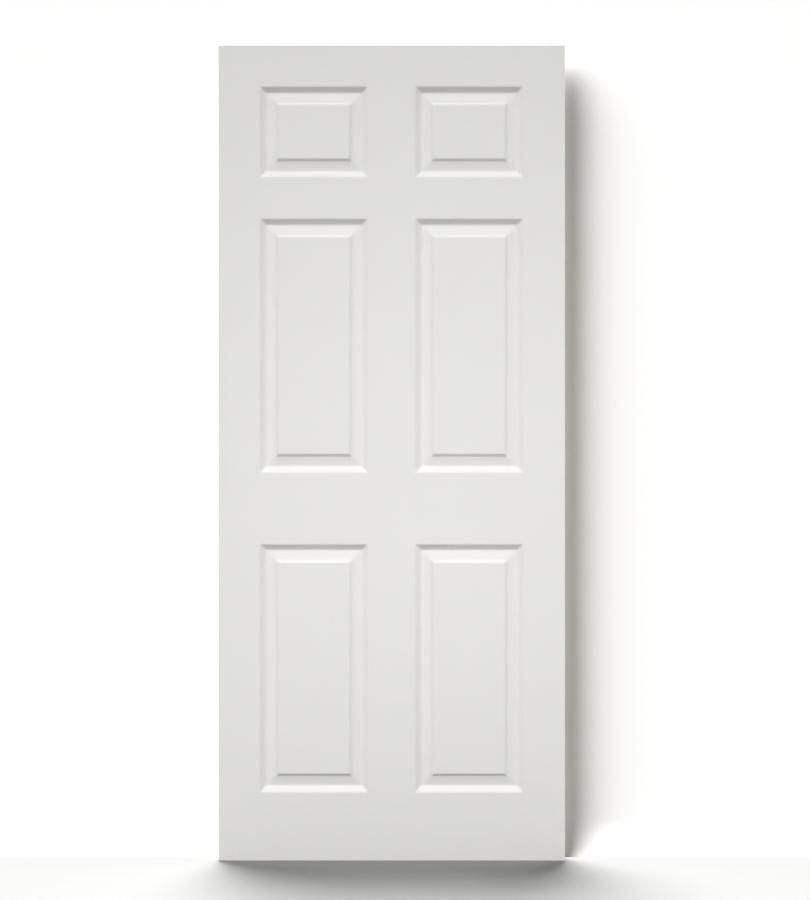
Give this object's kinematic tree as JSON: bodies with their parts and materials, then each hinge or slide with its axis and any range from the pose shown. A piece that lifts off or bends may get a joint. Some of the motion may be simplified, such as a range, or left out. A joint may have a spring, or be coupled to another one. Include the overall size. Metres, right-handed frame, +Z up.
{
  "type": "interior door slab",
  "caption": "Moulded interior door slab with raised panels on both faces: pressed fibreboard skins on a softwood frame around a paper honeycomb core.",
  "frame": {"origin": "middle of the slab's bottom edge, half way across its width and through its thickness", "axes": "+X across the width towards the latch edge, +Y through the thickness towards the rear face, +Z up the door"},
  "size_m": [0.8636, 0.0348, 2.032],
  "materials": {
    "white_primer": "pressed fibreboard with a satin white primer",
    "softwood": "planed, raw, finger-jointed",
    "lock_block_board": "raw board",
    "kraft_paper": "raw brown paper"
  },
  "bodies": {
    "root": {"front_skin": "white_primer", "rear_skin": "white_primer", "left_stile": "softwood", "right_stile": "softwood", "top_rail": "softwood", "bottom_rail": "softwood", "left_lock_block": "lock_block_board", "right_lock_block": "lock_block_board", "honeycomb_core": "kraft_paper"}
  },
  "joints": []
}
